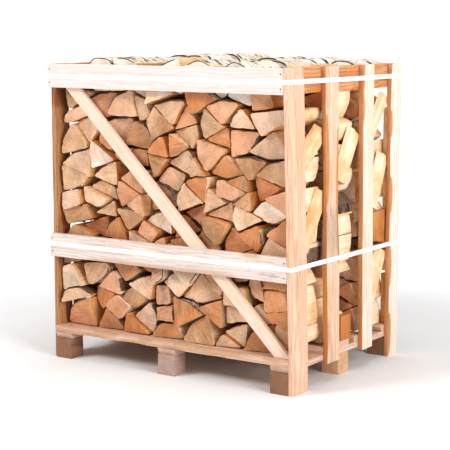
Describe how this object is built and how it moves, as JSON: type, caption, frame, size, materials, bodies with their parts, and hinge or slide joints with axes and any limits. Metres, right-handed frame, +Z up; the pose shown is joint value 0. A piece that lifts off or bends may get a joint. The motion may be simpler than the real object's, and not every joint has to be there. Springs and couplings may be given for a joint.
{
  "type": "pallet crate of split firewood logs",
  "caption": "Split birch firewood logs stacked front to back in an open timber pallet crate with braced front and back, heaped at the top and held by two white plastic straps.",
  "frame": {"origin": "centre of the object's box at floor level: under the middle of the pallet, on the plane that the blocks stand on", "axes": "+X across the front towards the right as the front is seen, +Y from the front to the back, +Z up; the front with the log ends faces -Y"},
  "size_m": [1.0926, 0.7926, 1.1676],
  "materials": {
    "pallet_block": "rough sawn block, end grain to the sides, brown-tan",
    "pallet_board": "rough sawn board, light tan",
    "crate_board": "fresh sawn softwood board, cream to peach, with waney edges",
    "brace_batten": "fresh sawn batten, pale cream",
    "strap_plastic": "white polypropylene strapping band, slightly glossy",
    "split_birch": "split and sawn birch, pinkish cream to orange, with white bark and black marks"
  },
  "bodies": {
    "root": {"back_brace": "brace_batten", "back_middle_rail": "crate_board", "back_row_logs_1": "split_birch", "back_row_logs_2": "split_birch", "back_row_logs_3": "split_birch", "back_row_logs_4": "split_birch", "back_row_logs_5": "split_birch", "back_row_logs_6": "split_birch", "back_row_logs_7": "split_birch", "back_row_logs_8": "split_birch", "back_top_rail": "crate_board", "block_back_left": "pallet_block", "block_back_middle": "pallet_block", "block_back_right": "pallet_block", "block_centre_left": "pallet_block", "block_centre_middle": "pallet_block", "block_centre_right": "pallet_block", "block_front_left": "pallet_block", "block_front_middle": "pallet_block", "block_front_right": "pallet_block", "deck_board_back": "pallet_board", "deck_board_far": "pallet_board", "deck_board_front": "pallet_board", "deck_board_middle": "pallet_board", "deck_board_near": "pallet_board", "front_brace": "brace_batten", "front_middle_rail": "crate_board", "front_row_logs_1": "split_birch", "front_row_logs_2": "split_birch", "front_row_logs_3": "split_birch", "front_row_logs_4": "split_birch", "front_row_logs_5": "split_birch", "front_row_logs_6": "split_birch", "front_row_logs_7": "split_birch", "front_top_rail": "crate_board", "leaning_split_1": "split_birch", "leaning_split_2": "split_birch", "leaning_split_3": "split_birch", "leaning_split_4": "split_birch", "leaning_split_5": "split_birch", "leaning_split_6": "split_birch", "left_top_rail": "crate_board", "left_upright_1": "crate_board", "left_upright_2": "crate_board", "left_upright_3": "crate_board", "left_upright_4": "crate_board", "middle_row_logs_1": "split_birch", "middle_row_logs_2": "split_birch", "middle_row_logs_3": "split_birch", "middle_strap": "strap_plastic", "right_top_rail": "crate_board", "right_upright_1": "crate_board", "right_upright_2": "crate_board", "right_upright_3": "crate_board", "right_upright_4": "crate_board", "short_offcut": "split_birch", "stringer_left": "pallet_board", "stringer_middle": "pallet_board", "stringer_right": "pallet_board", "top_strap": "strap_plastic"}
  },
  "joints": []
}
